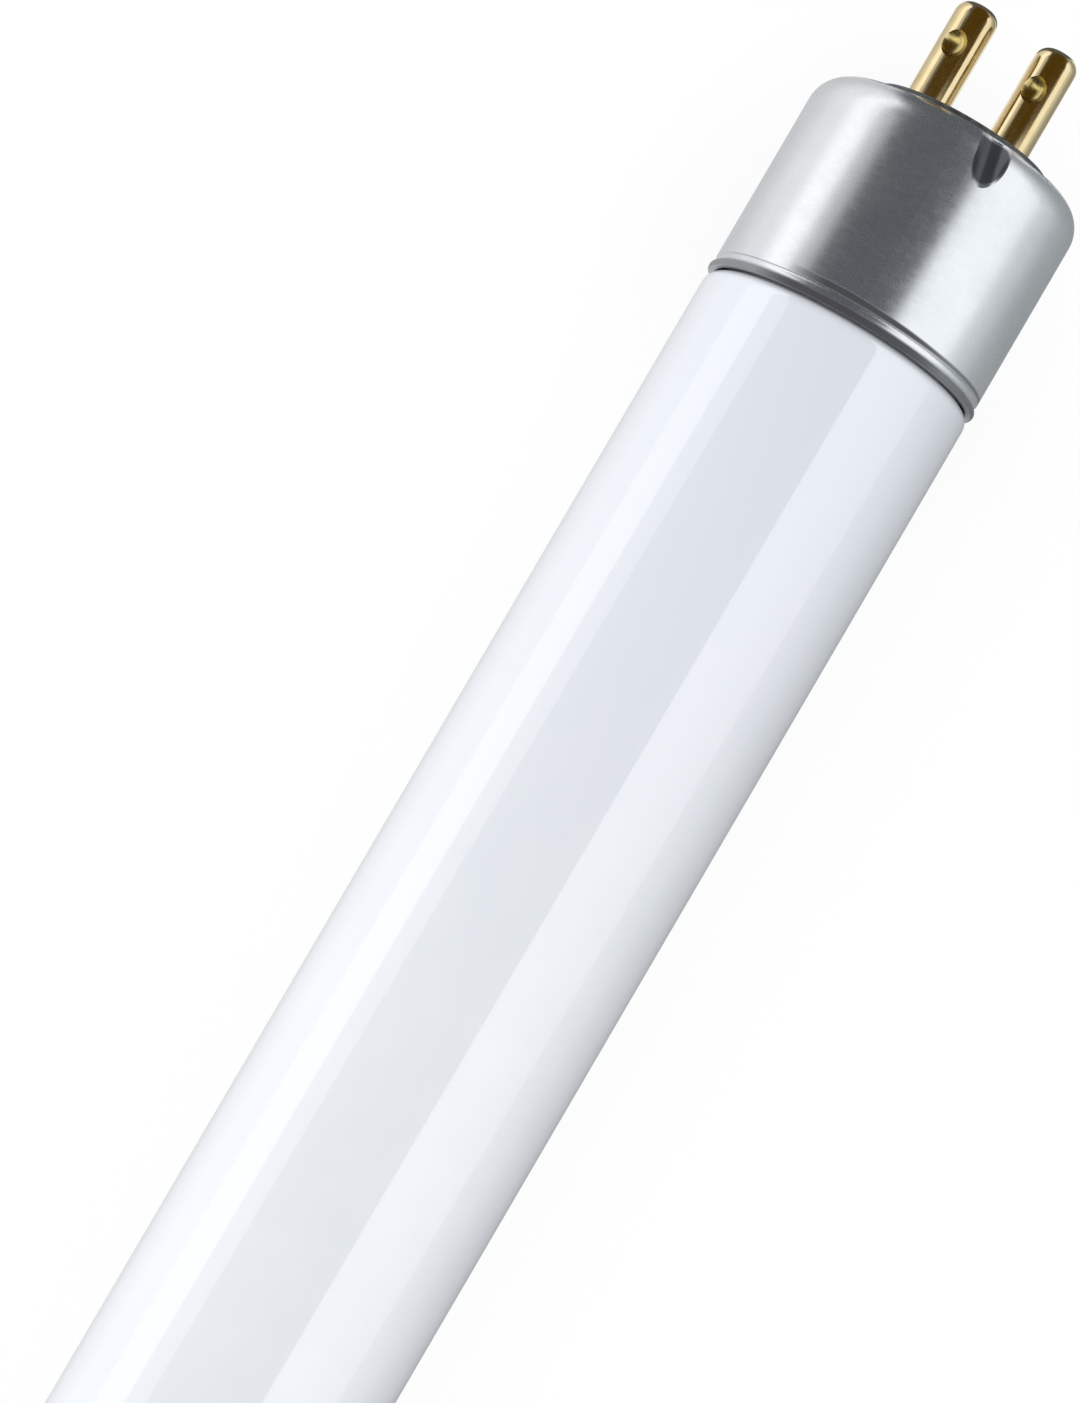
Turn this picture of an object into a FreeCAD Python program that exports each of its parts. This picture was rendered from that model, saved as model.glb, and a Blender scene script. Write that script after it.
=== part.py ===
import FreeCAD, Part
import math
import os
import Sketcher

# A slim fluorescent tube with a two-pin cap on each end.
# The lamp lies along X, its centre at the origin, with the pins of each cap side by side along Y.
# Each cap is built with its outer face at x = 0 and its pins towards +X, then set on its end of
# the lamp, so "x" in the cap functions counts outwards from the cap's face.

# The driving dimensions, in millimetres, and in degrees where the name ends in angle.
SIZES = {
    "face_distance": 288.3,  # from the outer face of one cap to that of the other
    "glass_diameter": 15.5,
    "glass_wall": 0.8,
    "neck_step": 0.8,  # how far the glass draws in, on the radius, to enter the cap
    "neck_round": 0.8,  # radius of both curves of that step
    "neck_lead": 0.75,  # length of the step that shows outside the cap's rim
    "seal_setback": 5.0,  # from the cap's face in to the sealed end of the glass
    "stem_depth": 10.5,  # how far the hollow stem reaches into the tube
    "stem_clearance": 0.5,  # room between a lead wire and the stem's wall
    "pinch_length": 2.0,  # solid glass that closes the stem round the wires
    "exhaust_radius": 1.3,
    "exhaust_length": 1.7,  # sealed exhaust tip, beyond the end of the glass
    "cap_length": 12.3,
    "cap_wall": 0.3,
    "shoulder_radius": 1.9,
    "face_land": 0.35,  # flat ring of the face, between the shoulder and the lip
    "face_lip": 0.2,  # radius and height of the rounded lip round the hole in the face
    "rim_bead": 0.4,  # width of the curled bead at the open end
    "bead_height": 0.12,
    "groove_width": 0.4,  # groove rolled behind the bead
    "groove_depth": 0.12,
    "stake_width": 1.95,  # the two dents that lock the insulator in the shell
    "stake_depth": 0.95,
    "stake_length": 4.2,  # length of the punch
    "stake_lean_angle": 55.0,  # from the lamp's axis to the way the punch strikes
    "stake_turn_angle": 15.0,  # round the axis, from straight up towards -Y
    "cement_thickness": 0.5,
    "cement_setback": 2.2,  # from the open rim in to the cement
    "disc_thickness": 2.0,  # the insulator's flange, inside the shell
    "disc_fit": 0.1,
    "boss_height": 0.5,  # the part of the insulator that stands out of the face
    "boss_fit": 0.05,
    "boss_chamfer": 0.12,
    "pin_pitch": 4.75,
    "pin_diameter": 2.4,
    "pin_length": 6.8,  # from the cap's face to the tip
    "pin_wall": 0.4,
    "pin_root_wall": 0.2,  # the thinner root goes through the insulator and is riveted behind it
    "pin_fit": 0.02,
    "tip_round": 0.8,
    "rivet_radius": 1.7,
    "rivet_height": 0.4,
    "crimp_height": 4.2,  # from the cap's face to the crimps' middle
    "crimp_radius": 0.85,
    "crimp_turn_angle": 18.0,  # round the pin, from straight up towards +Y
    "wire_diameter": 0.6,
    "wire_fit": 0.03,  # round the wire, in the crimp and in the hole at the pin's tip
}

ENDS = {"front": 1, "rear": -1}  # the way each end of the lamp points along X
SIDES = {"left": 1, "right": -1}  # each pin's side, looking out along the lamp with +Z up
OVERCUT = 1.0  # how far a cutting form runs past the face that it cuts
LEFT_TURN = 1
RIGHT_TURN = -1
X_AXIS = FreeCAD.Vector(1, 0, 0)
Y_AXIS = FreeCAD.Vector(0, 1, 0)
Z_AXIS = FreeCAD.Vector(0, 0, 1)


class Size:
    """A dimension that carries its number and the sheet formula that gives it."""

    def __init__(self, value, formula):
        self.value = value
        self.formula = formula

    def __add__(self, other):
        return Size(self.value + number(other), f"({self.formula} + {formula(other)})")

    def __sub__(self, other):
        return Size(self.value - number(other), f"({self.formula} - {formula(other)})")

    def __mul__(self, other):
        return Size(self.value * number(other), f"({self.formula} * {formula(other)})")

    def __truediv__(self, other):
        return Size(self.value / number(other), f"({self.formula} / {formula(other)})")

    def __neg__(self):
        return Size(-self.value, f"(-1 * {self.formula})")


def number(item):
    return item.value if isinstance(item, Size) else item


def formula(item):
    return item.formula if isinstance(item, Size) else str(item)


def size(name):
    return Size(SIZES[name], f"Sizes.{name}")


def root(item):
    return Size(math.sqrt(item.value), f"sqrt({item.formula})")


def sine(angle):
    return Size(math.sin(math.radians(angle.value)), f"sin({angle.formula})")


def cosine(angle):
    return Size(math.cos(math.radians(angle.value)), f"cos({angle.formula})")


def bind(item, field, amount):
    """Ties one field of a document object to a sheet formula."""
    item.setExpression(field, formula(amount))


# Sizes that several pieces share, worked out from the driving ones.
FACE_X = size("face_distance") / 2
GLASS_RADIUS = size("glass_diameter") / 2
NECK_RADIUS = GLASS_RADIUS - size("neck_step")
NECK_INSIDE = NECK_RADIUS - size("glass_wall")
CAP_INSIDE = NECK_RADIUS + size("cement_thickness")
CAP_RADIUS = CAP_INSIDE + size("cap_wall")
SHOULDER_INSIDE = size("shoulder_radius") - size("cap_wall")
LIP_RADIUS = CAP_RADIUS - size("shoulder_radius") - size("face_land")
OPENING_RADIUS = LIP_RADIUS - size("face_lip") * 2
DISC_BACK = -(size("cap_wall") + size("disc_thickness"))
PIN_OFFSET = size("pin_pitch") / 2
PIN_RADIUS = size("pin_diameter") / 2
PIN_BORE = PIN_RADIUS - size("pin_wall")
PIN_ROOT = PIN_BORE + size("pin_root_wall")
PIN_BACK = DISC_BACK - size("rivet_height")
WIRE_RADIUS = size("wire_diameter") / 2
WIRE_HOLE = WIRE_RADIUS + size("wire_fit")
STEM_BORE = PIN_OFFSET + WIRE_RADIUS + size("stem_clearance")
SEAL_X = -size("seal_setback")
STEM_FLOOR_X = SEAL_X - size("stem_depth")


class Outline:
    """A closed profile in a sketch, drawn edge by edge, with each corner held by formulas.

    x runs along the lamp's axis and r is the distance from it. A plain 0 puts the corner on an axis.
    """

    def __init__(self, sketch, x, r):
        self.sketch = sketch
        self.first = self.here = (x, r)
        self.first_end = self.last_end = None

    def line_to(self, x, r):
        edge = Part.LineSegment(self.point(self.here), self.point((x, r)))
        self.add(edge, 1, 2, (x, r))
        return self

    def arc_to(self, x, r, radius, turn):
        """An arc of under half a circle that turns left or right on its way to (x, r)."""
        tail, head = self.point(self.here), self.point((x, r))
        chord = head - tail
        rise = math.sqrt(max(number(radius) ** 2 - (chord.Length / 2) ** 2, 0.0))
        leftwards = FreeCAD.Vector(-chord.y, chord.x, 0).normalize()
        centre = (tail + head) / 2 + leftwards * (rise * turn)
        circle = Part.Circle(centre, Z_AXIS, number(radius))
        low, high = (tail, head) if turn == LEFT_TURN else (head, tail)
        edge = Part.ArcOfCircle(circle, circle.parameter(low), circle.parameter(high))
        ends = (1, 2) if turn == LEFT_TURN else (2, 1)
        index = self.add(edge, *ends, (x, r))
        self.hold(Sketcher.Constraint("Radius", index, number(radius)), radius)
        return self

    def close(self):
        self.line_to(*self.first)

    def point(self, corner):
        return FreeCAD.Vector(number(corner[0]), number(corner[1]), 0)

    def add(self, edge, tail, head, corner):
        index = self.sketch.addGeometry(edge, False)
        if self.last_end is None:
            self.first_end = (index, tail)
            self.place(index, tail, self.here)
        else:
            self.join(self.last_end, (index, tail))
        if corner is self.first or corner == self.first:
            self.join((index, head), self.first_end)
        else:
            self.place(index, head, corner)
        self.last_end = (index, head)
        self.here = corner
        return index

    def join(self, one, other):
        self.sketch.addConstraint(Sketcher.Constraint("Coincident", *one, *other))

    def place(self, index, end, corner):
        for kind, axis, amount in (("DistanceX", -2, corner[0]), ("DistanceY", -1, corner[1])):
            if isinstance(amount, Size):
                self.hold(Sketcher.Constraint(kind, -1, 1, index, end, amount.value), amount)
            else:
                self.sketch.addConstraint(Sketcher.Constraint("PointOnObject", index, end, axis))

    def hold(self, constraint, amount):
        index = self.sketch.addConstraint(constraint)
        name = f"held_{index}"
        self.sketch.renameConstraint(index, name)
        bind(self.sketch, f"Constraints.{name}", amount)


def make_sheet(doc):
    sheet = doc.addObject("Spreadsheet::Sheet", "Sizes")
    for row, (name, value) in enumerate(SIZES.items(), start=1):
        sheet.set(f"A{row}", name)
        sheet.set(f"B{row}", str(value))
        sheet.setAlias(f"B{row}", name)


def make_sketch(body, name, plane_role):
    plane = next(item for item in body.Origin.OriginFeatures if item.Role == plane_role)
    sketch = body.newObject("Sketcher::SketchObject", name)
    sketch.AttachmentSupport = [(plane, "")]
    sketch.MapMode = "FlatFace"
    return sketch


def revolved(doc, name, draw):
    """A body turned about the X axis from the half section that draw puts in its sketch."""
    body = doc.addObject("PartDesign::Body", name)
    sketch = make_sketch(body, f"{name}_section", "XZ_Plane")
    draw(sketch)
    turned = body.newObject("PartDesign::Revolution", f"{name}_turned")
    turned.Profile = sketch
    turned.ReferenceAxis = (sketch, ["H_Axis"])
    turned.Angle = 360
    sketch.Visibility = False
    return body


def cut(doc, name, base, tool):
    result = doc.addObject("Part::Cut", name)
    result.Base = base
    result.Tool = tool
    return result


def set_on_end(item, end, turn=0.0, offset_y=None):
    """Puts a piece that was built at x = 0 on its end of the lamp, turned about X first."""
    way = ENDS[end]
    about_z = FreeCAD.Rotation(Z_AXIS, 0 if way == 1 else 180)
    item.Placement = FreeCAD.Placement(FreeCAD.Vector(), about_z * FreeCAD.Rotation(X_AXIS, turn))
    bind(item, "Placement.Base.x", FACE_X * way)
    if offset_y is not None:
        bind(item, "Placement.Base.y", offset_y * way)


# Glass

def draw_glass(sketch):
    """Half of the sealed bulb: tube, drawn-in neck, flared stem, pinch and exhaust tip."""
    wall = size("glass_wall")
    step, bend = size("neck_step"), size("neck_round")
    step_length = root(bend * step - step * step / 4) * 2
    step_x = FACE_X - size("cap_length") - size("neck_lead")
    step_middle_x = step_x + step_length / 2
    neck_x = step_x + step_length
    seal_x = FACE_X + SEAL_X
    floor_x = FACE_X + STEM_FLOOR_X
    flare_outside = NECK_INSIDE - STEM_BORE
    flare_inside = flare_outside - wall
    flare_x = seal_x - flare_outside
    pinch_x = floor_x - size("pinch_length")
    exhaust = size("exhaust_radius")
    tip_x = seal_x + size("exhaust_length")

    outline = Outline(sketch, tip_x, 0)
    outline.arc_to(tip_x - exhaust, exhaust, exhaust, LEFT_TURN)
    outline.line_to(floor_x, exhaust)
    outline.line_to(floor_x, STEM_BORE)
    outline.line_to(flare_x, STEM_BORE)
    outline.arc_to(seal_x, NECK_INSIDE, flare_outside, LEFT_TURN)
    outline.arc_to(seal_x - wall, NECK_RADIUS, wall, LEFT_TURN)
    outline.line_to(neck_x, NECK_RADIUS)
    outline.arc_to(step_middle_x, NECK_RADIUS + step / 2, bend, RIGHT_TURN)
    outline.arc_to(step_x, GLASS_RADIUS, bend, LEFT_TURN)
    outline.line_to(0, GLASS_RADIUS)
    outline.line_to(0, GLASS_RADIUS - wall)
    outline.line_to(step_x, GLASS_RADIUS - wall)
    outline.arc_to(step_middle_x, NECK_INSIDE + step / 2, bend, RIGHT_TURN)
    outline.arc_to(neck_x, NECK_INSIDE, bend, LEFT_TURN)
    outline.line_to(seal_x - wall, NECK_INSIDE)
    outline.arc_to(flare_x, STEM_BORE + wall, flare_inside, RIGHT_TURN)
    outline.line_to(pinch_x, STEM_BORE + wall)
    outline.line_to(pinch_x, 0)
    outline.close()


def make_glass(doc):
    body = revolved(doc, "glass_bulb", draw_glass)
    doc.recompute()
    half = body.Tip
    middle = next(item for item in body.Origin.OriginFeatures if item.Role == "YZ_Plane")
    whole = body.newObject("PartDesign::Mirrored", "glass_bulb_whole")
    whole.Originals = [half]
    whole.MirrorPlane = (middle, [""])
    body.Tip = whole
    return body


# Cap shell

def draw_shell_outside(sketch):
    open_x = -size("cap_length")
    bead_x = open_x + size("rim_bead")
    groove_x = bead_x + size("groove_width")
    shoulder = size("shoulder_radius")
    lip = size("face_lip")

    outline = Outline(sketch, open_x, 0)
    outline.line_to(open_x, CAP_RADIUS)
    outline.arc_to(bead_x, CAP_RADIUS, arc_radius(size("rim_bead"), size("bead_height")), RIGHT_TURN)
    groove_round = arc_radius(size("groove_width"), size("groove_depth"))
    outline.arc_to(groove_x, CAP_RADIUS, groove_round, LEFT_TURN)
    outline.line_to(-shoulder, CAP_RADIUS)
    outline.arc_to(0, CAP_RADIUS - shoulder, shoulder, RIGHT_TURN)
    outline.line_to(0, LIP_RADIUS)
    outline.arc_to(lip, LIP_RADIUS - lip, lip, RIGHT_TURN)
    outline.arc_to(0, OPENING_RADIUS, lip, RIGHT_TURN)
    outline.line_to(0, 0)
    outline.close()


def arc_radius(chord, rise):
    """The radius of an arc that rises by rise over its chord."""
    return (chord * chord / 4 + rise * rise) / (rise * 2)


def draw_shell_inside(sketch):
    """The hollow of the shell and the hole in its face, run past both ends."""
    wall = size("cap_wall")
    open_x = -size("cap_length")
    groove_round = arc_radius(size("groove_width"), size("groove_depth"))
    ridge_round = groove_round + wall
    ridge_drop = groove_round - size("groove_depth") + wall
    ridge_half = root(ridge_round * ridge_round - ridge_drop * ridge_drop)
    ridge_x = open_x + size("rim_bead") + size("groove_width") / 2

    outline = Outline(sketch, open_x - OVERCUT, 0)
    outline.line_to(open_x - OVERCUT, CAP_INSIDE)
    outline.line_to(ridge_x - ridge_half, CAP_INSIDE)
    outline.arc_to(ridge_x + ridge_half, CAP_INSIDE, ridge_round, LEFT_TURN)
    outline.line_to(-size("shoulder_radius"), CAP_INSIDE)
    outline.arc_to(-wall, CAP_INSIDE - SHOULDER_INSIDE, SHOULDER_INSIDE, RIGHT_TURN)
    outline.line_to(-wall, OPENING_RADIUS)
    outline.line_to(-wall + size("face_lip") + OVERCUT, OPENING_RADIUS)
    outline.line_to(-wall + size("face_lip") + OVERCUT, 0)
    outline.close()


def make_stake_punches(doc, name, growth):
    """The two slanting punches that dent the shoulder, one each side, thicker by growth."""
    lean = size("stake_lean_angle")
    radius = size("stake_width") / 2
    shoulder = size("shoulder_radius")
    reach = shoulder + radius - size("stake_depth")
    middle_x = reach * cosine(lean) - shoulder
    middle_r = CAP_RADIUS - shoulder + reach * sine(lean)
    start_x = middle_x + size("stake_length") / 2 * sine(lean)
    start_r = middle_r - size("stake_length") / 2 * cosine(lean)
    punches = []
    for side, half_turn in ((1, 0), (-1, 180)):
        punch = doc.addObject("Part::Cylinder", f"{name}_{'above' if side == 1 else 'below'}")
        leaning = FreeCAD.Rotation(X_AXIS, half_turn) * FreeCAD.Rotation(Y_AXIS, -lean.value)
        punch.Placement = FreeCAD.Placement(FreeCAD.Vector(), leaning)
        bind(punch, "Radius", radius + growth)
        bind(punch, "Height", size("stake_length"))
        bind(punch, "Placement.Base.x", start_x)
        bind(punch, "Placement.Base.z", start_r * side)
        punches.append(punch)
    pair = doc.addObject("Part::Compound", name)
    pair.Links = punches
    pair.Placement = FreeCAD.Placement(FreeCAD.Vector(), FreeCAD.Rotation(X_AXIS, 1))
    bind(pair, "Placement.Rotation.Angle", size("stake_turn_angle"))
    return pair


def make_cap_shell(doc, end):
    """A deep-drawn cup whose dents go through to the inside with the wall's thickness."""
    name = f"{end}_cap_shell"
    outside = revolved(doc, f"{name}_outside", draw_shell_outside)
    inside = revolved(doc, f"{name}_inside", draw_shell_inside)
    punches = make_stake_punches(doc, f"{name}_punches", size("cap_wall") * 0)
    backs = make_stake_punches(doc, f"{name}_punch_backs", size("cap_wall"))
    dented = cut(doc, f"{name}_dented", outside, punches)
    hollow = cut(doc, f"{name}_hollow", inside, backs)
    shell = cut(doc, name, dented, hollow)
    set_on_end(shell, end)
    return shell


# Cement

def draw_cement(sketch):
    back_x = size("cement_setback") - size("cap_length")
    front_x = SEAL_X - size("glass_wall")
    outline = Outline(sketch, back_x, NECK_RADIUS)
    outline.line_to(back_x, CAP_INSIDE)
    outline.line_to(front_x, CAP_INSIDE)
    outline.line_to(front_x, NECK_RADIUS)
    outline.close()


def make_cement_ring(doc, end):
    ring = revolved(doc, f"{end}_cement_ring", draw_cement)
    set_on_end(ring, end)
    return ring


# Insulator

def draw_insulator(sketch):
    """A flange that fills the bottom of the shell and a boss that stands out of its face."""
    wall = size("cap_wall")
    flange = CAP_INSIDE - size("disc_fit")
    corner = SHOULDER_INSIDE - size("disc_fit")
    boss = OPENING_RADIUS - size("boss_fit")
    boss_x = size("boss_height")
    chamfer = size("boss_chamfer")
    outline = Outline(sketch, DISC_BACK, 0)
    outline.line_to(DISC_BACK, flange)
    outline.line_to(-wall - corner, flange)
    outline.arc_to(-wall, flange - corner, corner, RIGHT_TURN)
    outline.line_to(-wall, boss)
    outline.line_to(boss_x - chamfer, boss)
    outline.line_to(boss_x, boss - chamfer)
    outline.line_to(boss_x, 0)
    outline.close()


def drill_pin_holes(doc, body):
    sketch = make_sketch(body, f"{body.Name}_holes", "YZ_Plane")
    radius = PIN_ROOT + size("pin_fit")
    for side in SIDES.values():
        centre = FreeCAD.Vector(side * PIN_OFFSET.value, 0, 0)
        index = sketch.addGeometry(Part.Circle(centre, Z_AXIS, radius.value), False)
        sketch.addConstraint(Sketcher.Constraint("PointOnObject", index, 3, -1))
        for kind, amount in (("Radius", radius), ("DistanceX", PIN_OFFSET * side)):
            ends = (index,) if kind == "Radius" else (-1, 1, index, 3)
            held = sketch.addConstraint(Sketcher.Constraint(kind, *ends, amount.value))
            sketch.renameConstraint(held, f"held_{held}")
            bind(sketch, f"Constraints.held_{held}", amount)
    doc.recompute()
    holes = body.newObject("PartDesign::Pocket", f"{body.Name}_drilled")
    holes.Profile = sketch
    holes.Type = "ThroughAll"
    holes.Midplane = True
    sketch.Visibility = False
    return holes


def make_insulator(doc, end):
    """The moulded disc, notched where the shell's dents grip it."""
    name = f"{end}_insulator"
    disc = revolved(doc, f"{name}_disc", draw_insulator)
    doc.recompute()
    drill_pin_holes(doc, disc)
    grips = make_stake_punches(doc, f"{name}_grips", size("cap_wall") + size("boss_fit"))
    notched = cut(doc, name, disc, grips)
    set_on_end(notched, end)
    return notched


# Contact pins

def draw_pin_outside(sketch):
    """A drawn pin whose shank stands on the insulator, with its root riveted over behind it."""
    tip_x = size("pin_length")
    tip = size("tip_round")
    outline = Outline(sketch, PIN_BACK, 0)
    outline.line_to(PIN_BACK, size("rivet_radius"))
    outline.line_to(DISC_BACK, size("rivet_radius"))
    outline.line_to(DISC_BACK, PIN_ROOT)
    outline.line_to(size("boss_height"), PIN_ROOT)
    outline.line_to(size("boss_height"), PIN_RADIUS)
    outline.line_to(tip_x - tip, PIN_RADIUS)
    outline.arc_to(tip_x, PIN_RADIUS - tip, tip, RIGHT_TURN)
    outline.line_to(tip_x, 0)
    outline.close()


def draw_pin_bore(sketch):
    """The pin's bore, and the small hole in the tip where the lead wire ends."""
    wall = size("pin_wall")
    tip_x = size("pin_length")
    inner_round = size("tip_round") - wall
    outline = Outline(sketch, PIN_BACK - OVERCUT, 0)
    outline.line_to(PIN_BACK - OVERCUT, PIN_BORE)
    outline.line_to(tip_x - size("tip_round"), PIN_BORE)
    outline.arc_to(tip_x - wall, PIN_BORE - inner_round, inner_round, RIGHT_TURN)
    outline.line_to(tip_x - wall, WIRE_HOLE)
    outline.line_to(tip_x + OVERCUT, WIRE_HOLE)
    outline.line_to(tip_x + OVERCUT, 0)
    outline.close()


def make_crimp_punches(doc, name, growth):
    """Two round-nosed punches that squeeze the pin's bore down to its wire, larger by growth."""
    radius = size("crimp_radius")
    reach = WIRE_HOLE + size("pin_wall") + radius
    punches = []
    for side in (1, -1):
        punch = doc.addObject("Part::Sphere", f"{name}_{'above' if side == 1 else 'below'}")
        bind(punch, "Radius", radius + growth)
        bind(punch, "Placement.Base.x", size("crimp_height"))
        bind(punch, "Placement.Base.z", reach * side)
        punches.append(punch)
    pair = doc.addObject("Part::Compound", name)
    pair.Links = punches
    return pair


def make_pin(doc, end, side):
    name = f"{end}_{side}_pin"
    outside = revolved(doc, f"{name}_outside", draw_pin_outside)
    bore = revolved(doc, f"{name}_bore", draw_pin_bore)
    punches = make_crimp_punches(doc, f"{name}_punches", size("pin_wall") * 0)
    backs = make_crimp_punches(doc, f"{name}_punch_backs", size("pin_wall"))
    dented = cut(doc, f"{name}_dented", outside, punches)
    squeezed = cut(doc, f"{name}_squeezed", bore, backs)
    pin = cut(doc, name, dented, squeezed)
    set_on_end(pin, end, turn=-SIZES["crimp_turn_angle"], offset_y=PIN_OFFSET * SIDES[side])
    return pin


# Lead wires

def make_lead_wire(doc, end, side):
    """The part of the lead outside the sealed glass: from the stem's floor to the pin's tip."""
    wire = doc.addObject("Part::Cylinder", f"{end}_{side}_lead_wire")
    way = ENDS[end]
    wire.Placement = FreeCAD.Placement(FreeCAD.Vector(), FreeCAD.Rotation(Y_AXIS, 90 * way))
    bind(wire, "Radius", WIRE_RADIUS)
    bind(wire, "Height", size("pin_length") - STEM_FLOOR_X)
    bind(wire, "Placement.Base.x", (FACE_X + STEM_FLOOR_X) * way)
    bind(wire, "Placement.Base.y", PIN_OFFSET * SIDES[side] * way)
    return wire


def check(doc, nodes):
    """Stops before anything is written if an object failed or a piece isn't a sound solid."""
    for item in doc.Objects:
        if "Invalid" in item.State or "Error" in item.State:
            raise RuntimeError(f"{item.Name} failed: {item.State}")
    for node in nodes:
        if node.Shape.isNull() or not node.Shape.isValid() or node.Shape.Volume <= 0:
            raise RuntimeError(f"{node.Name} has no sound shape")


def main():
    doc = FreeCAD.newDocument("fluorescent_tube")
    make_sheet(doc)
    doc.recompute()
    nodes = [make_glass(doc)]
    for end in ENDS:
        nodes += [make_cap_shell(doc, end), make_cement_ring(doc, end), make_insulator(doc, end)]
        for side in SIDES:
            nodes += [make_pin(doc, end, side), make_lead_wire(doc, end, side)]
    doc.recompute()
    for node in nodes:
        node.Label = node.Name
    check(doc, nodes)
    os.makedirs("parts", exist_ok=True)
    for node in nodes:
        node.Shape.exportStep(f"parts/{node.Label}.step")
        print(f"{node.Label}: {len(node.Shape.Solids)} solid, {node.Shape.Volume:.2f} mm3")


main()
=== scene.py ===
"""A slim fluorescent tube with a two-pin cap at each end, lying on a pale studio floor."""

import math

import bpy
from mathutils import Matrix, Vector


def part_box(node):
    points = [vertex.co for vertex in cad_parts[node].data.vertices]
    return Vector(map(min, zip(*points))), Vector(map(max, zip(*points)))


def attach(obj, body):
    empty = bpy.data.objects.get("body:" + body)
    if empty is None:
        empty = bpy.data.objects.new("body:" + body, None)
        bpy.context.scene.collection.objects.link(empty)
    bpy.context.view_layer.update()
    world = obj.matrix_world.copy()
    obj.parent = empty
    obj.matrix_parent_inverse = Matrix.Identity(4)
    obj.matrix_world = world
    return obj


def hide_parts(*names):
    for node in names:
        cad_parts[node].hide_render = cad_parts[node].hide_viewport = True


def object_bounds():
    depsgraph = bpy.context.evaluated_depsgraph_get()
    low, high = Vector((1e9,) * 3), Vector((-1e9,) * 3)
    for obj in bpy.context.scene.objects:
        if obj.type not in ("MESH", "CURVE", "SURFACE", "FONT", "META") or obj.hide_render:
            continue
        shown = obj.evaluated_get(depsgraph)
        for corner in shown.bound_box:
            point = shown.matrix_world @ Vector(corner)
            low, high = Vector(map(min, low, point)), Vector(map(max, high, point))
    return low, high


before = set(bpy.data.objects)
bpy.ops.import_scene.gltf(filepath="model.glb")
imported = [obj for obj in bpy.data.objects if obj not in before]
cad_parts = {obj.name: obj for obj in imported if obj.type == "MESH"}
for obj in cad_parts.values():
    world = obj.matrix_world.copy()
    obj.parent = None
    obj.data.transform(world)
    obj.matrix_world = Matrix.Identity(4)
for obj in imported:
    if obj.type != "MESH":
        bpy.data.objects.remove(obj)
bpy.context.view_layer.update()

MM = 0.001
ENDS = ("front", "rear")
SIDES = ("left", "right")

# Places taken from the frame, in metres. The lamp lies along X, and x counts from its centre.
GLASS_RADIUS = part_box("glass_bulb")[1].z
EXHAUST_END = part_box("glass_bulb")[1].x
RIM_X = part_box("front_cap_shell")[0].x
BEAD_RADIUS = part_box("front_cap_shell")[1].y
PIN_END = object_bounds()[1].x
FLOOR_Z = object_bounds()[0].z

# Sizes of the bulb's section and of the caps, as their CAD solids have them.
GLASS_WALL = 0.8 * MM
NECK_STEP = 0.8 * MM
NECK_ROUND = 0.8 * MM
NECK_LEAD = 0.75 * MM
EXHAUST_RADIUS = 1.3 * MM
EXHAUST_LENGTH = 1.7 * MM
STEM_BORE = 3.175 * MM
STEM_DEPTH = 10.5 * MM
PINCH_LENGTH = 2.0 * MM
SHOULDER_RADIUS = 1.9 * MM
BEAD_HEIGHT = 0.12 * MM
CAP_RADIUS = BEAD_RADIUS - BEAD_HEIGHT
FACE_X = 144.15 * MM
DENTS_START = 2 * MM  # from the rim, past the groove
PINS_START = FACE_X + 0.55 * MM  # just over the insulator's boss
PIN_OFFSET = 2.375 * MM
PIN_RADIUS = 1.2 * MM
CRIMPS_END = PIN_END - 1.5 * MM  # below the rounded tips

# What the outer and the inner section of the bulb share, at the front end.
NECK_RADIUS = GLASS_RADIUS - NECK_STEP
NECK_INSIDE = NECK_RADIUS - GLASS_WALL
STEP_TURN = math.degrees(math.acos(1 - NECK_STEP / 2 / NECK_ROUND))
STEP_X = RIM_X - NECK_LEAD
STEP_END = STEP_X + 2 * NECK_ROUND * math.sin(math.radians(STEP_TURN))
SEAL_X = EXHAUST_END - EXHAUST_LENGTH
FLARE = NECK_INSIDE - STEM_BORE
STEM_FLOOR = SEAL_X - STEM_DEPTH

# How finely the bulb's mesh is made, and the least angle of an edge that stays sharp.
ROUND_SEGMENTS = 160
ARC_STEPS = 10
SMOOTH_ANGLE = math.radians(40)

# The photograph: its size and where the lamp's axis leaves the cap's rim, in pixels.
PHOTO_WIDTH = 1080
PHOTO_HEIGHT = 1403
RIM_PIXEL = (839.1, 344.4)
PIXELS_PER_METRE = 19400
LENS = 800
SENSOR = 36
CAMERA_TILT = math.radians(9.96)  # how far the lamp's front end leans away from the camera
CAMERA_ROLL = math.radians(30.34)  # from straight up to the lamp, clockwise in the picture

# What reflections show where the studio is dark.
DARK = 0.13
DARK_COLOUR = (0.88, 0.94, 1.0)

# The studio, in metres.
STRIP_DISTANCE = 0.30
STRIP_REACH = 0.6
LIGHT_DISTANCE = 0.5
LIGHT_SIZE = (1.2, 0.4)
FLOOR_REACH = 6
PAPER_HEIGHT = 0.04 * MM
FLAG_HEIGHT = 0.05 * MM
PIN_CARD_HEIGHT = 16 * MM


# Meshes

def arc(centre_x, centre_r, radius, start, end):
    """Points on an arc in a section, from one angle to another, in degrees."""
    points = []
    for step in range(ARC_STEPS + 1):
        angle = math.radians(start + (end - start) * step / ARC_STEPS)
        points.append((centre_x + radius * math.cos(angle), centre_r + radius * math.sin(angle)))
    return points


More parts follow.
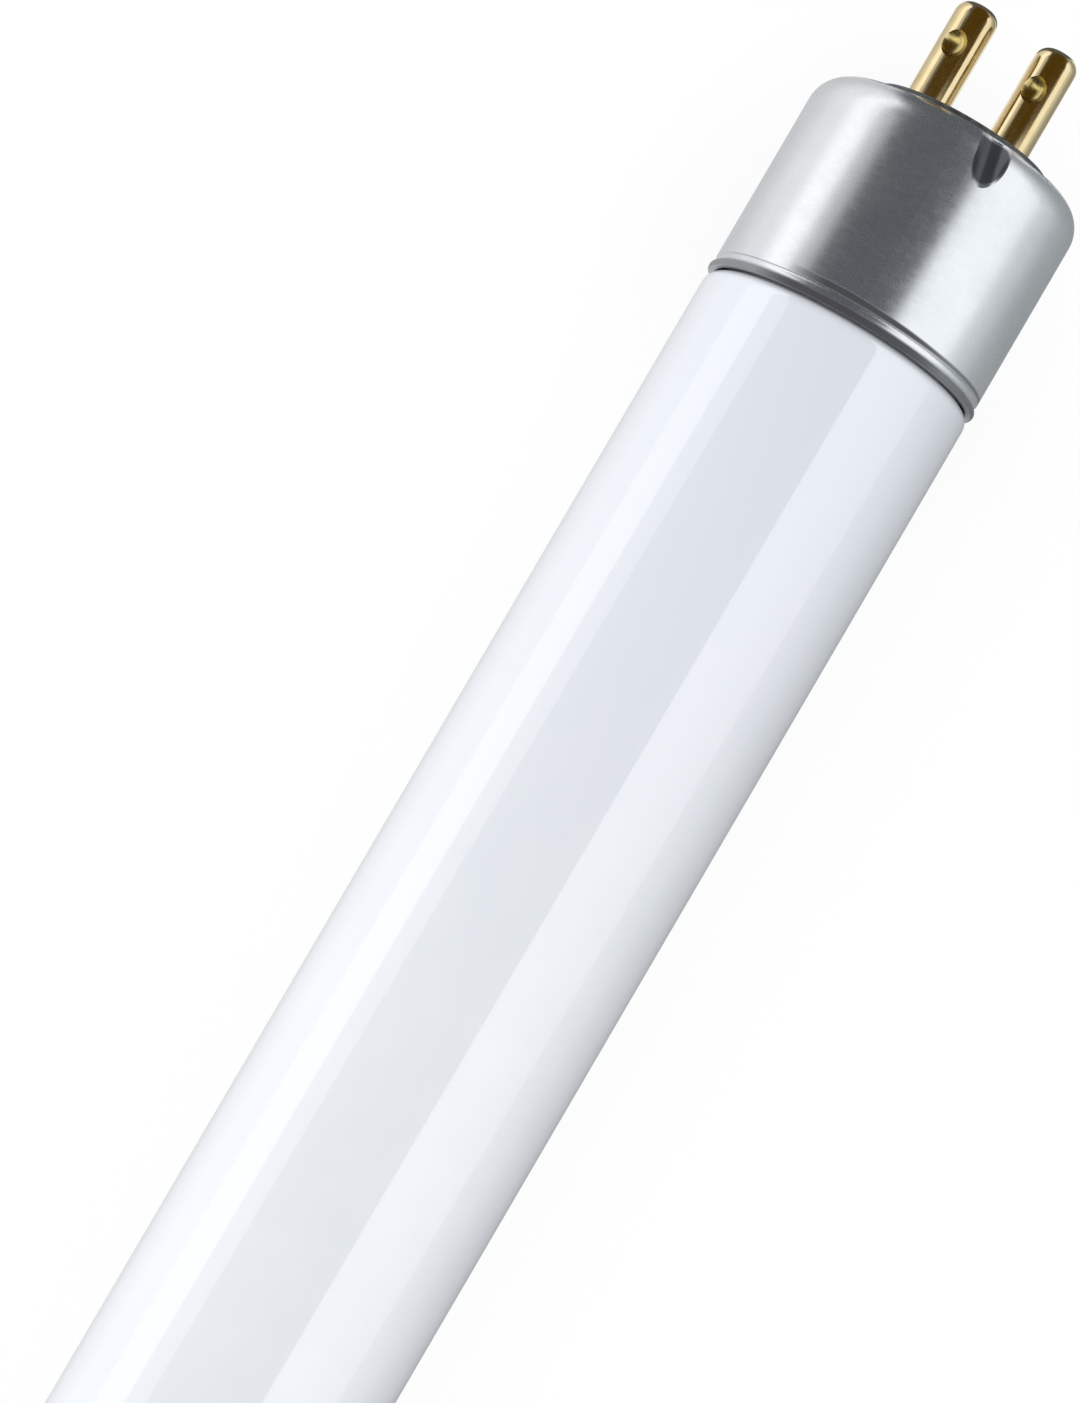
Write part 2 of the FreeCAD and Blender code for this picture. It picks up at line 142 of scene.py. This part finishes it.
def turned_shell(section, verts, faces, outwards):
    """Adds the surface that a section from pole to pole sweeps round the X axis."""
    rings = []
    for x, r in section:
        if r < 1e-9:
            rings.append([len(verts)])
            verts.append((x, 0.0, 0.0))
            continue
        ring = []
        for step in range(ROUND_SEGMENTS):
            angle = 2 * math.pi * step / ROUND_SEGMENTS
            ring.append(len(verts))
            verts.append((x, r * math.sin(angle), r * math.cos(angle)))
        rings.append(ring)
    for one, other in zip(rings, rings[1:]):
        for step in range(ROUND_SEGMENTS):
            after = (step + 1) % ROUND_SEGMENTS
            face = [one[step % len(one)], one[after % len(one)]]
            face += [other[after % len(other)], other[step % len(other)]]
            face = list(dict.fromkeys(face))
            faces.append(face if outwards else face[::-1])


def make_mesh_object(name, verts, faces, material):
    mesh = bpy.data.meshes.new(name)
    mesh.from_pydata(verts, [], faces)
    mesh.materials.append(material)
    mesh.polygons.foreach_set("use_smooth", [True] * len(mesh.polygons))
    mesh.set_sharp_from_angle(angle=SMOOTH_ANGLE)
    piece = bpy.data.objects.new(name, mesh)
    bpy.context.scene.collection.objects.link(piece)
    return piece


# Materials

class Finish:
    """A node material with one Principled shader, and short ways to add what feeds it."""

    def __init__(self, name):
        self.material = bpy.data.materials.new(name)
        self.material.use_nodes = True
        self.tree = self.material.node_tree
        self.shader = self.tree.nodes["Principled BSDF"]
        self.place = self.add("ShaderNodeTexCoord").outputs["Object"]

    def add(self, kind, **settings):
        node = self.tree.nodes.new(kind)
        for field, setting in settings.items():
            setattr(node, field, setting)
        return node

    def feed(self, socket, source):
        if isinstance(source, bpy.types.NodeSocket):
            self.tree.links.new(source, socket)
        else:
            socket.default_value = source

    def shade(self, **amounts):
        """Sets the shader's own sockets: base_color is its Base Color, and so on."""
        for field, amount in amounts.items():
            self.feed(self.shader.inputs[field.replace("_", " ").title().replace("Ior", "IOR")], amount)

    def show(self, surface):
        """Lets a surface of other kinds stand in for the Principled shader."""
        self.tree.nodes.remove(self.shader)
        self.feed(self.tree.nodes["Material Output"].inputs["Surface"], surface)
        self.material.cycles.emission_sampling = "NONE"

    def parts(self, vector=None):
        """The X, Y and Z of a vector, or of the place."""
        node = self.add("ShaderNodeSeparateXYZ")
        self.feed(node.inputs[0], self.place if vector is None else vector)
        return node.outputs

    def length(self, vector):
        node = self.add("ShaderNodeVectorMath", operation="LENGTH")
        self.feed(node.inputs[0], vector)
        return node.outputs["Value"]

    def from_middle(self):
        """How far along the lamp a place is from its centre."""
        return self.maths("ABSOLUTE", self.parts()["X"])

    def scaled_place(self, along, across):
        """The place in the lamp, in features per metre along the axis and across it."""
        node = self.add("ShaderNodeVectorMath", operation="MULTIPLY")
        self.feed(node.inputs[0], self.place)
        self.feed(node.inputs[1], (along, across, across))
        return node.outputs[0]

    def noise(self, along, across, detail=3.0, roughness=0.5):
        node = self.add("ShaderNodeTexNoise")
        self.feed(node.inputs["Vector"], self.scaled_place(along, across))
        self.feed(node.inputs["Scale"], 1.0)
        self.feed(node.inputs["Detail"], detail)
        self.feed(node.inputs["Roughness"], roughness)
        return node.outputs["Fac"]

    def spread(self, source, low, high, start=0.0, end=1.0):
        """Maps start..end of a source to low..high."""
        node = self.add("ShaderNodeMapRange")
        self.feed(node.inputs["Value"], source)
        self.feed(node.inputs["From Min"], start)
        self.feed(node.inputs["From Max"], end)
        self.feed(node.inputs["To Min"], low)
        self.feed(node.inputs["To Max"], high)
        return node.outputs["Result"]

    def maths(self, operation, one, other=0.0):
        node = self.add("ShaderNodeMath", operation=operation)
        self.feed(node.inputs[0], one)
        self.feed(node.inputs[1], other)
        return node.outputs[0]

    def product(self, *factors):
        result = factors[0]
        for factor in factors[1:]:
            result = self.maths("MULTIPLY", result, factor)
        return result

    def blend(self, share, one, other):
        node = self.add("ShaderNodeMix", data_type="RGBA")
        self.feed(node.inputs["Factor"], share)
        self.feed(node.inputs["A"], (*one, 1.0) if isinstance(one, tuple) else one)
        self.feed(node.inputs["B"], (*other, 1.0) if isinstance(other, tuple) else other)
        return node.outputs["Result"]

    def bump(self, height, depth):
        """A relief whose heights run from 0 to depth, in metres."""
        node = self.add("ShaderNodeBump")
        self.feed(node.inputs["Height"], height)
        self.feed(node.inputs["Distance"], depth)
        self.feed(node.inputs["Strength"], 1.0)
        return node.outputs["Normal"]


def make_coated_glass():
    """Clear glass over a white powder coat, so a gloss skin lies over a soft white."""
    finish = Finish("coated_glass")
    from_middle = finish.from_middle()
    near_cap = finish.spread(from_middle, 0.0, 1.0, RIM_X - 45 * MM, RIM_X)
    powder = finish.noise(260, 260, detail=4.0, roughness=0.6)
    cloud = finish.spread(powder, 0.0, 1.0, 0.3, 0.7)
    white = finish.blend(cloud, (0.84, 0.868, 0.91), (0.865, 0.888, 0.925))
    colour = finish.blend(near_cap, white, (0.77, 0.80, 0.855))
    # Painted light: the glass just under the cap's rim is lighter, lifting the shade that the bead and the
    # crevice cast there.
    painted_light_under_rim = finish.spread(from_middle, 0.0, 1.0, RIM_X - 0.2 * MM, RIM_X + 0.1 * MM)
    colour = finish.blend(painted_light_under_rim, colour, (0.9, 0.9, 0.9))
    finish.shade(base_color=colour, roughness=0.32, ior=1.5)
    finish.shade(coat_weight=1.0, coat_roughness=0.03, coat_ior=1.9)
    finish.shade(normal=finish.bump(finish.noise(30, 60, detail=1.0), 0.02 * MM))
    return finish.material


def depth_in_cap(finish):
    """How far below the cap's plain outside a place is: dents and grooves have some depth."""
    from_axis = finish.length(finish.scaled_place(0.0, 1.0))
    round_x = finish.maths("SUBTRACT", finish.from_middle(), FACE_X - SHOULDER_RADIUS)
    round_r = finish.maths("SUBTRACT", from_axis, CAP_RADIUS - SHOULDER_RADIUS)
    corner = finish.add("ShaderNodeCombineXYZ")
    finish.feed(corner.inputs["X"], finish.maths("MAXIMUM", round_x))
    finish.feed(corner.inputs["Y"], finish.maths("MAXIMUM", round_r))
    return finish.maths("SUBTRACT", SHOULDER_RADIUS, finish.length(corner.outputs[0]))


def cap_painted_shade(finish):
    """How much painted shade the cap gets, from 0 to 1: in its dents, and at the rim.

    The rim gets painted shade on the bead and in a line past the groove, where the crevice and the groove
    look dark, weaker towards both sides.
    """
    from_rim = finish.maths("SUBTRACT", finish.from_middle(), RIM_X)
    deep = finish.spread(depth_in_cap(finish), 0.0, 1.0, 0.03 * MM, 0.2 * MM)
    dents = finish.product(deep, finish.maths("GREATER_THAN", from_rim, DENTS_START))
    aside = finish.parts()["Y"]
    bead_start = finish.spread(from_rim, 0.6, 1.0, 0.0, 0.05 * MM)
    bead_end = finish.spread(from_rim, 1.0, 0.0, 0.30 * MM, 0.48 * MM)
    bead_side = finish.spread(aside, 1.0, 0.45, 0.45 * CAP_RADIUS, 0.75 * CAP_RADIUS)
    bead = finish.product(bead_start, bead_end, bead_side)
    line_top = finish.spread(aside, 0.98 * MM, 1.14 * MM, -0.6 * CAP_RADIUS, 0.1 * CAP_RADIUS)
    line_start = finish.spread(from_rim, 0.0, 1.0, 0.78 * MM, 0.90 * MM)
    line_end = finish.spread(from_rim, 1.0, 0.0, line_top, finish.maths("ADD", line_top, 0.12 * MM))
    line_side = finish.spread(aside, 1.0, 0.0, 0.25 * CAP_RADIUS, 0.55 * CAP_RADIUS)
    line = finish.product(line_start, line_end, line_side)
    far_side = finish.spread(aside, 0.55, 1.0, -0.7 * CAP_RADIUS, -0.35 * CAP_RADIUS)
    return dents, finish.product(finish.maths("ADD", bead, line), far_side)


def make_cap_aluminium():
    """Drawn sheet with fine grain that runs round the cap, and painted shade, a dull dark grey, in its dents
    and along its rim.
    """
    finish = Finish("cap_aluminium")
    patches = finish.noise(380, 380, detail=4.0, roughness=0.6)
    tone = finish.blend(finish.spread(patches, 0.0, 1.0, 0.3, 0.7), (0.71, 0.73, 0.75), (0.77, 0.785, 0.80))
    grain = finish.noise(3400, 1500, detail=2.0)
    dents, rim = cap_painted_shade(finish)
    # Painted shade: the rim's mask darkens the bead and the line past the groove almost to black, and the
    # dents to dark grey, both with less metal; the rim is also rougher.
    rim_painted_shade = finish.product(rim, finish.maths("SUBTRACT", 2.0, rim))
    tone = finish.blend(rim_painted_shade, tone, (0.06, 0.06, 0.07))
    finish.shade(base_color=finish.blend(dents, tone, (0.09, 0.09, 0.11)))
    metal = finish.product(finish.spread(rim, 1.0, 0.1), finish.spread(dents, 1.0, 0.6))
    gloss = finish.spread(grain, 0.24, 0.29, 0.3, 0.7)
    matted = finish.product(rim, 0.25)
    finish.shade(metallic=metal, roughness=finish.maths("ADD", gloss, matted))
    finish.shade(normal=finish.bump(grain, 0.0007 * MM))
    return finish.material


def make_dark_phenolic():
    finish = Finish("dark_phenolic")
    specks = finish.noise(2600, 2600, detail=2.0, roughness=0.7)
    share = finish.spread(specks, 0.0, 1.0, 0.45, 0.75)
    tone = finish.blend(share, (0.045, 0.05, 0.048), (0.11, 0.115, 0.11))
    finish.shade(base_color=tone, roughness=finish.spread(specks, 0.38, 0.55), ior=1.55)
    finish.shade(normal=finish.bump(finish.noise(1800, 1800, detail=3.0), 0.015 * MM))
    return finish.material


def crimp_share(finish):
    """1 in the pins' crimps, which lie deeper than the plain shank, and 0 elsewhere."""
    place = finish.parts()
    aside = finish.maths("SUBTRACT", finish.maths("ABSOLUTE", place["Y"]), PIN_OFFSET)
    across = finish.add("ShaderNodeCombineXYZ")
    finish.feed(across.inputs["Y"], aside)
    finish.feed(across.inputs["Z"], place["Z"])
    from_axis = finish.length(across.outputs[0])
    deep = finish.spread(from_axis, 1.0, 0.0, PIN_RADIUS - 0.08 * MM, PIN_RADIUS - 0.01 * MM)
    return finish.product(deep, finish.maths("LESS_THAN", finish.from_middle(), CRIMPS_END))


def make_pin_brass():
    """Gold-bright plated brass with faint drawing lines along the pin, matted where it is crimped, with
    painted shade darkening the crimps.
    """
    finish = Finish("pin_brass")
    lines = finish.noise(300, 5200, detail=2.0)
    stain = finish.noise(900, 900, detail=3.0, roughness=0.6)
    tone = finish.blend(finish.spread(stain, 0.0, 1.0, 0.35, 0.75), (0.80, 0.66, 0.40), (0.72, 0.57, 0.30))
    crimped = crimp_share(finish)
    # Painted shade: the crimps take a darker, greener gold, as their hollows look in shade.
    tone = finish.blend(crimped, tone, (0.58, 0.46, 0.19))
    gloss = finish.spread(lines, 0.12, 0.2, 0.3, 0.7)
    matted = finish.product(crimped, 0.12)
    finish.shade(base_color=tone, metallic=1.0, roughness=finish.maths("ADD", gloss, matted))
    finish.shade(normal=finish.bump(lines, 0.004 * MM))
    return finish.material


def make_lead_nickel():
    finish = Finish("lead_nickel")
    wear = finish.noise(1500, 3000, detail=2.0)
    tone = finish.blend(wear, (0.60, 0.57, 0.52), (0.70, 0.67, 0.62))
    finish.shade(base_color=tone, metallic=1.0, roughness=finish.spread(wear, 0.25, 0.4))
    return finish.material


def make_basing_cement():
    finish = Finish("basing_cement")
    grit = finish.noise(2200, 2200, detail=4.0, roughness=0.7)
    tone = finish.blend(grit, (0.50, 0.44, 0.34), (0.70, 0.64, 0.53))
    finish.shade(base_color=tone, roughness=0.9)
    finish.shade(normal=finish.bump(grit, 0.05 * MM))
    return finish.material


# Pieces

def half_outside():
    """The bulb's outer section at the front end, from the straight tube to the exhaust tip."""
    section = arc(STEP_X, GLASS_RADIUS - NECK_ROUND, NECK_ROUND, 90, 90 - STEP_TURN)
    section += arc(STEP_END, NECK_RADIUS + NECK_ROUND, NECK_ROUND, 270 - STEP_TURN, 270)[1:]
    section += arc(SEAL_X - GLASS_WALL, NECK_INSIDE, GLASS_WALL, 90, 0)
    section += arc(SEAL_X - FLARE, NECK_INSIDE, FLARE, 0, -90)[1:]
    section += [(STEM_FLOOR, STEM_BORE), (STEM_FLOOR, EXHAUST_RADIUS)]
    section += arc(EXHAUST_END - EXHAUST_RADIUS, 0, EXHAUST_RADIUS, 90, 0)
    return section


def half_inside():
    """The section of the sealed space at the front end, from the straight tube to the pinch."""
    pinch_x = STEM_FLOOR - PINCH_LENGTH
    section = arc(STEP_X, GLASS_RADIUS - GLASS_WALL - NECK_ROUND, NECK_ROUND, 90, 90 - STEP_TURN)
    section += arc(STEP_END, NECK_INSIDE + NECK_ROUND, NECK_ROUND, 270 - STEP_TURN, 270)[1:]
    section += [(SEAL_X - GLASS_WALL, NECK_INSIDE)]
    section += arc(SEAL_X - FLARE, NECK_INSIDE, FLARE - GLASS_WALL, 0, -90)[1:]
    section += [(pinch_x, STEM_BORE + GLASS_WALL), (pinch_x, 0.0)]
    return section


def both_ends(half):
    return [(-x, r) for x, r in reversed(half)] + half


def make_bulb(material):
    """The sealed glass, rounder than its CAD solid, with its hollow inside."""
    verts, faces = [], []
    turned_shell(both_ends(half_outside()), verts, faces, outwards=True)
    turned_shell(both_ends(half_inside()), verts, faces, outwards=False)
    bulb = make_mesh_object("coated_bulb", verts, faces, material)
    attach(bulb, "root")
    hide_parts("glass_bulb")


def dress_nodes():
    """Gives every CAD piece that shows its own material."""
    for end in ENDS:
        finishes = {"cap_shell": ALUMINIUM, "cement_ring": CEMENT, "insulator": PHENOLIC}
        for side in SIDES:
            finishes[f"{side}_pin"] = BRASS
            finishes[f"{side}_lead_wire"] = NICKEL
        for part, material in finishes.items():
            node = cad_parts[f"{end}_{part}"]
            node.data.materials.clear()
            node.data.materials.append(material)


# Camera

def make_camera():
    look = Vector((math.sin(CAMERA_TILT), 0, -math.cos(CAMERA_TILT)))
    along = Vector((math.cos(CAMERA_TILT), 0, math.sin(CAMERA_TILT)))
    across = Vector((0, -1, 0))
    right = across * math.cos(CAMERA_ROLL) + along * math.sin(CAMERA_ROLL)
    up = along * math.cos(CAMERA_ROLL) - across * math.sin(CAMERA_ROLL)
    distance = PHOTO_HEIGHT / PIXELS_PER_METRE * LENS / SENSOR
    rim_right = (RIM_PIXEL[0] - PHOTO_WIDTH / 2) / PIXELS_PER_METRE
    rim_up = (PHOTO_HEIGHT / 2 - RIM_PIXEL[1]) / PIXELS_PER_METRE
    aim = Vector((RIM_X, 0, 0)) - right * rim_right - up * rim_up
    data = bpy.data.cameras.new("camera")
    data.lens = LENS
    data.sensor_width = SENSOR
    data.clip_end = 50
    camera = bpy.data.objects.new("camera", data)
    turn = Matrix((right, up, -look)).transposed().to_4x4()
    camera.matrix_world = Matrix.Translation(aim - look * distance) @ turn
    bpy.context.scene.collection.objects.link(camera)
    bpy.context.scene.camera = camera


# Studio

def seen_share(tree):
    """1 for rays from the camera, a mirror or through glass, and 0 for light on the lamp."""
    rays = tree.nodes.new("ShaderNodeLightPath")
    share = rays.outputs["Is Camera Ray"]
    for kind in ("Is Glossy Ray", "Is Transmission Ray"):
        either = tree.nodes.new("ShaderNodeMath")
        either.operation = "MAXIMUM"
        tree.links.new(share, either.inputs[0])
        tree.links.new(rays.outputs[kind], either.inputs[1])
        share = either.outputs[0]
    return share


def make_world(light_level):
    """A white surround as the camera sees it, and a plain level of light on the lamp."""
    world = bpy.data.worlds.new("studio")
    world.use_nodes = True
    tree = world.node_tree
    lit = tree.nodes["Background"]
    lit.inputs["Strength"].default_value = light_level
    lit.inputs["Color"].default_value = (0.98, 0.99, 1.0, 1.0)
    seen = tree.nodes.new("ShaderNodeBackground")
    seen.inputs["Color"].default_value = (1.0, 1.0, 1.0, 1.0)
    mix = tree.nodes.new("ShaderNodeMixShader")
    tree.links.new(seen_share(tree), mix.inputs[0])
    tree.links.new(lit.outputs[0], mix.inputs[1])
    tree.links.new(seen.outputs[0], mix.inputs[2])
    tree.links.new(mix.outputs[0], tree.nodes["World Output"].inputs["Surface"])
    bpy.context.scene.world = world


def make_floor(whiteness):
    """A white floor. whiteness is how far it looks white of itself, and the rest keeps the shadow.

    Grey paper beside the lamp, on its -Y side, takes back the light that would bounce up there.
    """
    floor_finish = Finish("floor")
    tree = floor_finish.tree
    seen = seen_share(tree)
    beside = floor_finish.spread(floor_finish.parts()["Y"], 1.0, 0.0, -3 * CAP_RADIUS, 0.0)
    paper = floor_finish.product(beside, floor_finish.maths("SUBTRACT", 1.0, seen))
    matt = floor_finish.add("ShaderNodeBsdfDiffuse")
    floor_finish.feed(matt.inputs["Color"], floor_finish.blend(paper, (0.95, 0.95, 0.95), (0.2, 0.2, 0.21)))
    white = floor_finish.add("ShaderNodeEmission")
    floor_finish.feed(white.inputs["Strength"], 1.05)
    mix = floor_finish.add("ShaderNodeMixShader")
    floor_finish.feed(mix.inputs[0], floor_finish.product(seen, whiteness))
    floor_finish.feed(mix.inputs[1], matt.outputs[0])
    floor_finish.feed(mix.inputs[2], white.outputs[0])
    floor_finish.show(mix.outputs[0])
    rows = ground_rows(-FLOOR_REACH, FLOOR_REACH, -FLOOR_REACH, FLOOR_REACH, height=0.0)
    make_sheet("floor", rows, floor_finish.material)


def make_sheet(name, rows, material):
    """A sheet through rows of places, each row as long as the others."""
    verts = [place for row in rows for place in row]
    width = len(rows[0])
    starts = [row * width + step for row in range(len(rows) - 1) for step in range(width - 1)]
    faces = [(start, start + 1, start + width + 1, start + width) for start in starts]
    return make_mesh_object(name, verts, faces, material)


def ground_rows(start_x, end_x, start_y, end_y, height):
    """The corners of a rectangle at a height over the floor, as two rows."""
    z = FLOOR_Z + height
    return [[(start_x, start_y, z), (end_x, start_y, z)], [(start_x, end_y, z), (end_x, end_y, z)]]


def strip_place(angle, distance):
    """Where a strip along the lamp stands, facing it. The angle is from straight up, positive towards -Y."""
    out = Vector((0, -math.sin(math.radians(angle)), math.cos(math.radians(angle))))
    axis = Vector((1, 0, 0))
    turn = Matrix((axis, out.cross(axis), out)).transposed().to_4x4()
    return Matrix.Translation(out * distance) @ turn


def ray_start(finish):
    """The place whose reflection shows the surface."""
    geometry = finish.add("ShaderNodeNewGeometry")
    rays = finish.add("ShaderNodeLightPath")
    back = finish.add("ShaderNodeVectorMath", operation="SCALE")
    finish.feed(back.inputs[0], geometry.outputs["Incoming"])
    finish.feed(back.inputs["Scale"], rays.outputs["Ray Length"])
    start = finish.add("ShaderNodeVectorMath", operation="ADD")
    finish.feed(start.inputs[0], geometry.outputs["Position"])
    finish.feed(start.inputs[1], back.outputs[0])
    return start.outputs[0]


def add_card(name, rows, brightness, colour=(1.0, 1.0, 1.0), shown_by="all"):
    """A card that only reflections show: those of all pieces, of the front pins or of all but them.

    brightness is a number, or (beside the lamp, far off, how far that is).
    """
    finish = Finish(name)
    glow = finish.add("ShaderNodeEmission")
    finish.feed(glow.inputs["Color"], (*colour, 1.0))
    if isinstance(brightness, tuple):
        near, far, far_off = brightness
        aside = finish.maths("ABSOLUTE", finish.parts()["Y"])
        brightness = finish.spread(aside, near, far, 1.5 * CAP_RADIUS, far_off)
    finish.feed(glow.inputs["Strength"], brightness)
    surface = glow.outputs[0]
    if shown_by != "all":
        mix = finish.add("ShaderNodeMixShader")
        side = "GREATER_THAN" if shown_by == "pins" else "LESS_THAN"
        mirror_x = finish.parts(ray_start(finish))["X"]
        finish.feed(mix.inputs[0], finish.maths(side, mirror_x, PINS_START))
        finish.feed(mix.inputs[1], finish.add("ShaderNodeBsdfTransparent").outputs[0])
        finish.feed(mix.inputs[2], surface)
        surface = mix.outputs[0]
    finish.show(surface)
    card = make_sheet(name, rows, finish.material)
    card.visible_camera = card.visible_diffuse = card.visible_shadow = card.visible_transmission = False


def strip_rows(start, end, distance=STRIP_DISTANCE, reach=STRIP_REACH):
    """The corners of a strip along the lamp, from one angle round it to another, as two rows."""
    half_width = distance * math.tan(math.radians((end - start) / 2))
    place = strip_place((start + end) / 2, distance)
    return [[place @ Vector((x, y, 0)) for x in (-reach, reach)] for y in (-half_width, half_width)]


def add_end_flags(end, way, brightness):
    """Dark cards beyond an end's pins, which carry the dark band on over the cap's shoulder."""
    near_x = PIN_END + 2 * MM
    far_x = PIN_END + 0.6
    ground = FLOOR_Z + FLAG_HEIGHT
    upright = [[(far_x, y, z) for z in (ground, 0.42)] for y in (-0.18, 0.40)]
    lying = [[(near_x, y, ground) for y in (-4 * MM, 5 * MM)]]
    lying.append([(far_x, y, ground) for y in (-0.18, 0.36)])
    wing_start = -46
    wing_distance = 0.29
    wing_ends = [(0.20, -50), (0.30, -57), (0.36, -60.6), (0.43, -65.6)]
    wing_ends += [(0.52, -73), (0.62, -84), (0.80, -95)]
    wing = []
    for x, wing_end in wing_ends:
        angles = (wing_start, (wing_start + wing_end) / 2, wing_end)
        wing.append([strip_place(angle, wing_distance) @ Vector((x, 0, 0)) for angle in angles])
    for name, rows in {"flag": upright, "floor_flag": lying, "wing": wing}.items():
        rows = [[(way * x, y, z) for x, y, z in row] for row in rows]
        add_card(f"{end}_{name}", rows, brightness, DARK_COLOUR)


def add_pin_cards():
    """Cards near the front pins: brown over them and round their tips, pale behind, and dark under them."""
    brown = []
    for x, y in [(149.0, 16), (147.2, 0), (150.0, -22)]:
        near, over = [(place * MM, y * MM, PIN_CARD_HEIGHT) for place in (x, 172)]
        brown.append([near, over, (184 * MM, y * MM, 0.0)])
    pale = [[(x * MM, y * MM, PIN_CARD_HEIGHT) for x in (126, 144.5)] for y in (-4, 24)]
    foot = ground_rows(FACE_X, PIN_END + 2 * MM, -7 * MM, 7 * MM, FLAG_HEIGHT)
    add_card("front_foot_flag", foot, DARK, DARK_COLOUR, shown_by="others")
    add_card("pin_flag", brown, 0.1, (0.85, 0.53, 0.08), shown_by="pins")
    add_card("crimp_card", pale, 1.5, (1.0, 0.97, 0.85), shown_by="pins")


def add_light(name, angle, radiance):
    """A soft strip light along the lamp, which is kept out of the reflections."""
    length, width = LIGHT_SIZE
    data = bpy.data.lights.new(name, "AREA")
    data.shape = "RECTANGLE"
    data.size = length
    data.size_y = width
    data.energy = radiance * math.pi * length * width
    light = bpy.data.objects.new(name, data)
    light.matrix_world = strip_place(angle, LIGHT_DISTANCE)
    light.visible_camera = light.visible_glossy = False
    bpy.context.scene.collection.objects.link(light)


def make_studio():
    make_world(light_level=0.85)
    make_floor(whiteness=0.75)
    add_light("left_light", angle=-70, radiance=0.7)
    add_light("right_light", angle=40, radiance=0.5)
    add_card("overhead_flag", strip_rows(-50, 27, reach=0.8), DARK, DARK_COLOUR)
    add_card("right_box", strip_rows(28, 84), 1.24, (0.96, 0.98, 1.0))
    add_card("right_low", strip_rows(83, 91, distance=0.32), 0.8, (0.95, 0.98, 1.0))
    add_card("left_shoulder", strip_rows(-66, -50, distance=0.32), 0.62)
    add_card("left_box", strip_rows(-92, -66), 1.36)
    left_paper = ground_rows(-STRIP_REACH, STRIP_REACH, CAP_RADIUS, 0.29, PAPER_HEIGHT)
    right_paper = ground_rows(-STRIP_REACH, STRIP_REACH, -CAP_RADIUS, -0.31, PAPER_HEIGHT)
    add_card("left_paper", left_paper, (0.68, 0.98, 30 * MM), (0.98, 0.99, 1.0))
    add_card("right_paper", right_paper, (0.37, 0.72, 60 * MM), (0.93, 0.98, 1.0))
    add_end_flags("front", 1, DARK)
    add_end_flags("rear", -1, 0.3)
    add_pin_cards()


ALUMINIUM = make_cap_aluminium()
BRASS = make_pin_brass()
CEMENT = make_basing_cement()
NICKEL = make_lead_nickel()
PHENOLIC = make_dark_phenolic()

make_bulb(make_coated_glass())
dress_nodes()
make_camera()
make_studio()
bpy.context.scene.view_settings.view_transform = "Standard"
